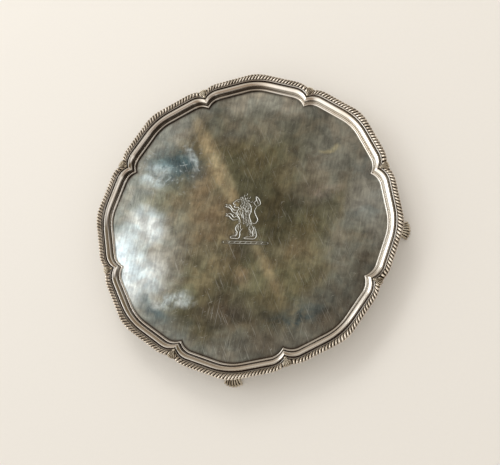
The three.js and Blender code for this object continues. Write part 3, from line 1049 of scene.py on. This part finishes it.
# Roughness: that of clean silver, and what each of the others adds
PLATE_ROUGHNESS = {"clean": 0.11, "well": 0.14, "smudges": 0.08}
BRIGHT_ROUGHNESS = {"clean": 0.16, "stain_and_painted_shade": 0.3, "patches": 0.1}
# Depths of bumps
DENT_DEPTH = 0.015
MARK_DEPTH = 0.01
GRAIN_DEPTH = 0.03


def plate_material():
    material = bpy.data.materials.new("plate_silver")
    shader = Shader(material)
    point = shader.position()
    in_well = shader.attribute("well")
    hollow = shader.attribute("hollow")
    engraved = shader.attribute("engraved")
    colour, smudges = well_colour(shader, point, shader.attribute("outwards"))

    # Flecks, fine scratches and painted shade about the engraving
    flecks = shader.step(0.69, 0.76, shader.noise(point, size=4, detail=3, roughness=0.5))
    marks = swirls(shader, point, size=20, count=15, width=0.045)
    for scratch in SCRATCHES:
        marks = shader.math("MAXIMUM", marks, scratches(shader, *scratch))
    colour = shader.cover(colour, PALE_GREY, flecks, strength=0.45)
    colour = shader.cover(colour, PALE_GREY, marks, strength=0.34)
    # A painted shade darkens the well round each engraved line.
    painted_cut_shade = shader.step(0, 0.6, shader.attribute("shaded"))
    colour = shader.cover(colour, CUT_PAINTED_SHADE, painted_cut_shade, strength=0.6)
    colour = shader.mix(shader.step(0.15, 0.65, engraved), colour, CUT)

    # The border and the back are cleaner, with dark tarnish and painted shade in the hollows
    warm = shader.noise(point, size=30, detail=4)
    border = shader.mix(shader.step(0.45, 0.75, warm), SILVER, WARM_SILVER)
    colour = shader.mix(in_well, border, colour)
    stain_and_painted_shade = shader.times(hollow, shader.step(0.1, 0.45, warm))
    colour = shader.cover(colour, TARNISH_AND_PAINTED_SHADE, stain_and_painted_shade, strength=0.95)

    dull = shader.plus(PLATE_ROUGHNESS["well"], shader.times(smudges, PLATE_ROUGHNESS["smudges"]))
    roughness = shader.plus(PLATE_ROUGHNESS["clean"], shader.times(in_well, dull))
    dents = shader.times(in_well, shader.noise(point, size=9, detail=3))
    normal = shader.bump(dents, DENT_DEPTH)
    normal = shader.bump(shader.times(marks, in_well), MARK_DEPTH, normal)
    shader.finish(colour, roughness, normal)
    return material


def bright_silver_material(name, shade_and_stain_reach, grain, bright, dim):
    """Worn bright silver, darkened by tarnish and painted shade where the hollow attribute passes through
    the given reach.
    """
    material = bpy.data.materials.new(name)
    shader = Shader(material)
    point = shader.position()
    patchy = shader.noise(point, size=14, detail=5, roughness=0.6)
    colour = shader.mix(shader.step(0.35, 0.65, patchy), bright, dim)
    wander = shader.times(shader.math("SUBTRACT", patchy, 0.5), 0.5)
    # Tarnish and painted shade in the hollows
    stain_and_painted_shade = shader.step(*shade_and_stain_reach, shader.plus(shader.attribute("hollow"), wander))
    colour = shader.mix(stain_and_painted_shade, colour, TARNISH_AND_PAINTED_SHADE)
    roughness = shader.plus(BRIGHT_ROUGHNESS["clean"], shader.times(stain_and_painted_shade, BRIGHT_ROUGHNESS["stain_and_painted_shade"]))
    roughness = shader.plus(roughness, shader.times(patchy, BRIGHT_ROUGHNESS["patches"]))
    grain_height = shader.noise(point, grain, detail=4, roughness=0.6)
    shader.finish(colour, roughness, shader.bump(grain_height, GRAIN_DEPTH))
    return material


def floor_material():
    material = bpy.data.materials.new("pale_floor")
    shader = Shader(material)
    grain = shader.noise(shader.position(), size=3, detail=3)
    colour = shader.mix(grain, (0.78, 0.75, 0.7), (0.8, 0.77, 0.72))
    shader.finish(colour, roughness=0.75, metallic=0.0)
    return material


# ---- pieces

plate_silver = plate_material()
border_silver = bright_silver_material(
    "border_silver", shade_and_stain_reach=(0.12, 0.52), grain=1.2, bright=(0.92, 0.84, 0.73), dim=(0.62, 0.54, 0.44)
)
cast_silver = bright_silver_material(
    "cast_silver", shade_and_stain_reach=(-0.02, 0.2), grain=1.6, bright=(0.93, 0.86, 0.72), dim=(0.56, 0.48, 0.36)
)

make_plate(plate_silver)
for lobe in range(LOBES):
    make_gadroon_border(lobe, border_silver)

shell_points, shell_faces, shell_hollow = shell_mesh()
for lobe in range(LOBES):
    place = turned(shell_points, lobe * LOBE_STEP + CUSP_ANGLE)
    piece = make_piece(f"cusp_shell_{lobe + 1}_cast", place, shell_faces, {"hollow": shell_hollow})
    hand_over(piece, f"cusp_shell_{lobe + 1}", cast_silver)

foot_points, foot_faces, foot_hollow = foot_mesh()
pad_points, pad_faces = pad_mesh()
for foot in range(FEET):
    place = turned(foot_points, foot * FOOT_EVERY)
    piece = make_piece(f"foot_{foot + 1}_cast", place, foot_faces, {"hollow": foot_hollow}, crease=60)
    hand_over(piece, f"foot_{foot + 1}", cast_silver)
    piece = make_piece(f"foot_pad_{foot + 1}_sheet", turned(pad_points, foot * FOOT_EVERY), pad_faces)
    hand_over(piece, f"foot_pad_{foot + 1}", cast_silver)


# ---- floor, light and camera

# In metres: its edge is far off in every view
FLOOR_SIZE = 30.0


def make_floor():
    half = FLOOR_SIZE / 2
    corners = [(-half, -half, 0), (half, -half, 0), (half, half, 0), (-half, half, 0)]
    mesh = bpy.data.meshes.new("floor")
    mesh.from_pydata(corners, [], [(0, 1, 2, 3)])
    mesh.materials.append(floor_material())
    add_object("floor", mesh)


def direction(azimuth, elevation):
    """A unit vector towards an azimuth from +X and an elevation, in degrees."""
    level = math.cos(math.radians(elevation))
    turn = math.radians(azimuth)
    return (level * math.cos(turn), level * math.sin(turn), math.sin(math.radians(elevation)))


# The room that the silver mirrors: its colour, and its lighter and darker sides as (azimuth, elevation and
# the degrees over which a side fades out) and colour
ROOM_COLOUR = (1.0, 0.95, 0.88)
ROOM_SIDES = [
    ((64, 50, 16, 36), (0.15, 0.115, 0.07)),
    ((92, 36, 8, 26), (0.27, 0.21, 0.15)),
    ((120, 24, 8, 24), (0.42, 0.35, 0.28)),
    ((136, 66, 14, 30), (0.43, 0.39, 0.325)),
    ((314, 70, 6, 20), (0.36, 0.3, 0.25)),
    ((250, 63, 8, 22), (0.36, 0.28, 0.21)),
    ((30, 68, 5, 14), (0.55, 0.52, 0.5)),
    ((13, 66, 4, 12), (0.95, 0.91, 0.87)),
    ((-100, 22, 12, 28), (0.15, 0.11, 0.08)),
    ((-45, 22, 18, 36), (0.11, 0.08, 0.06)),
    ((12, 22, 12, 28), (0.13, 0.095, 0.07)),
    ((192, 38, 18, 40), (1.32, 1.27, 1.2)),
]
# The room as the camera and diffuse light see it
EVEN_LIGHT = (0.86, 0.825, 0.78)


def make_world():
    world = bpy.data.worlds.new("studio")
    bpy.context.scene.world = world
    shader = Shader(world)
    towards = shader.add("ShaderNodeTexCoord").outputs["Generated"]
    colour = ROOM_COLOUR
    for (azimuth, elevation, inner, outer), tone in ROOM_SIDES:
        cosine = shader.vector("DOT_PRODUCT", {0: towards, 1: direction(azimuth, elevation)}, "Value")
        side = shader.step(math.cos(math.radians(outer)), math.cos(math.radians(inner)), cosine)
        colour = shader.mix(side, colour, tone)
    # Only reflections see the room's light and dark sides.
    ray = shader.add("ShaderNodeLightPath").outputs
    plain = shader.math("MAXIMUM", ray["Is Camera Ray"], ray["Is Diffuse Ray"])
    colour = shader.mix(plain, colour, EVEN_LIGHT)
    background = shader.add("ShaderNodeBackground", {"Color": colour, "Strength": 1.0}).outputs[0]
    shader.add("ShaderNodeOutputWorld", {"Surface": background})


# Lamps: name, place and aim in metres, size, watts, colour, and whether the silver mirrors it
LAMPS = [
    ("window", (-1.05, 0.25, 1.2), (-0.1, 0, 0), (0.9, 0.5), 3.0, (0.9, 0.96, 1.0), True),
    ("key", (-0.5, 1.3, 1.3), (0, 0, 0), (0.9, 0.7), 9, (1.0, 0.98, 0.95), False),
]


def make_lamp(name, place, aim, size, watts, colour, mirrored):
    lamp = bpy.data.lights.new(name, "AREA")
    lamp.shape = "RECTANGLE"
    lamp.size, lamp.size_y = size
    lamp.energy = watts
    lamp.color = colour
    holder = add_object(name, lamp)
    holder.location = place
    holder.rotation_euler = (Vector(aim) - Vector(place)).to_track_quat("-Z", "Y").to_euler()
    holder.visible_camera = False
    holder.visible_glossy = mirrored


# The camera's aim and distance in metres, its angles in degrees and its lens in millimetres
CAMERA_AIM = Vector((0.00704, -0.01108, WELL_TOP * MM))
CAMERA_DISTANCE = 0.76603
CAMERA_AZIMUTH = -43.905
CAMERA_ELEVATION = 68.38
CAMERA_ROLL = -42.49
CAMERA_LENS = 57.48


def make_camera():
    camera = bpy.data.cameras.new("camera")
    camera.lens = CAMERA_LENS
    camera.sensor_width = 36
    camera.clip_end = 20
    holder = add_object("camera", camera)
    holder.location = CAMERA_AIM + CAMERA_DISTANCE * Vector(direction(CAMERA_AZIMUTH, CAMERA_ELEVATION))
    look = (CAMERA_AIM - holder.location).to_track_quat("-Z", "Y")
    roll = Quaternion((0, 0, 1), math.radians(CAMERA_ROLL))
    holder.rotation_mode = "QUATERNION"
    holder.rotation_quaternion = look @ roll
    bpy.context.scene.camera = holder


make_floor()
make_world()
for lamp in LAMPS:
    make_lamp(*lamp)
make_camera()
bpy.context.scene.view_settings.view_transform = "Standard"
